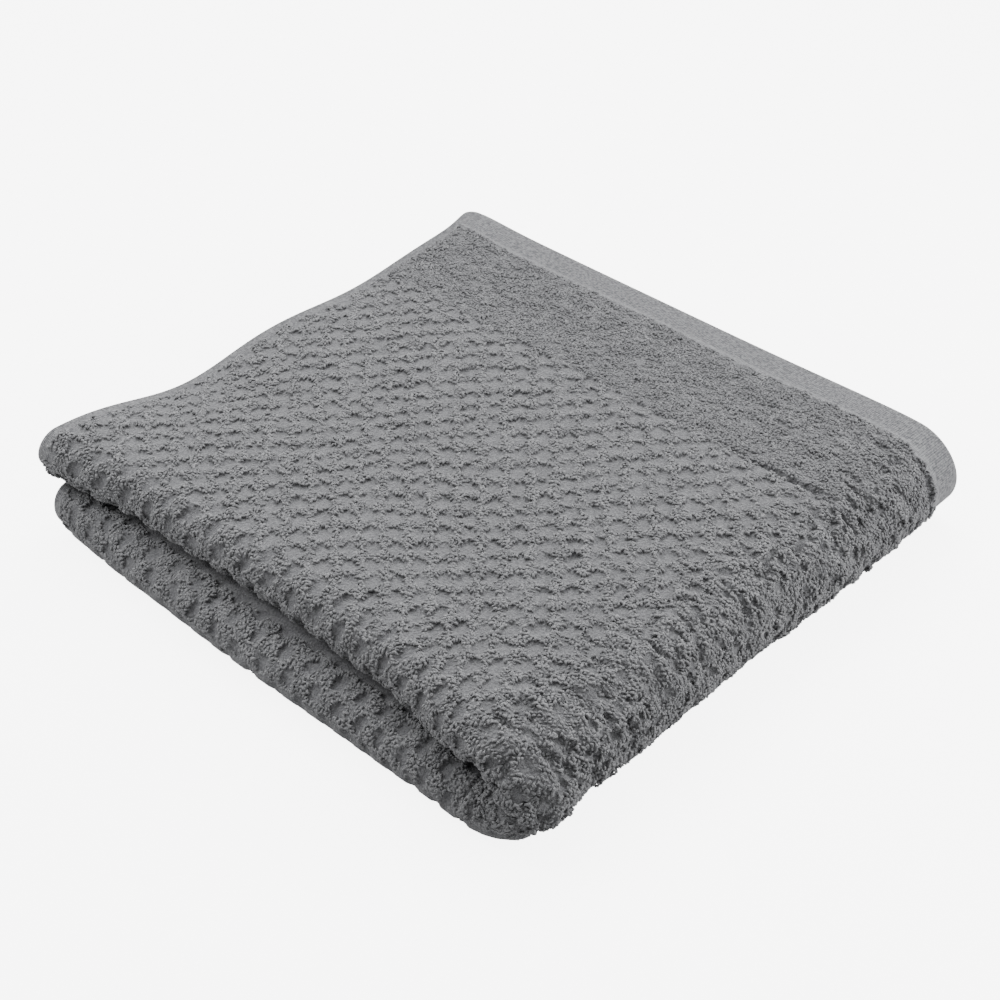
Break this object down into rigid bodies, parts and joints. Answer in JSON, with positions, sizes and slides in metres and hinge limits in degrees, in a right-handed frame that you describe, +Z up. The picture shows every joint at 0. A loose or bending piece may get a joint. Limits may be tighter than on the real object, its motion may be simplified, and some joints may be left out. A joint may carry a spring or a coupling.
{
  "type": "folded bath towel",
  "caption": "Bath towel folded into a square stack, in grey cotton terry with raised cells, a plain terry band and a flat hem.",
  "frame": {"origin": "middle of the stack's box, on the surface that the towel lies on", "axes": "+Z up through the stack; +X towards the hemmed ends, -X towards the rolled cross folds; -Y towards the lengthwise fold, +Y towards the open side with the selvedges"},
  "size_m": [0.3376, 0.3528, 0.0588],
  "materials": {
    "terry": "matt looped cotton"
  },
  "bodies": {
    "root": {"towel": "terry"}
  },
  "joints": []
}
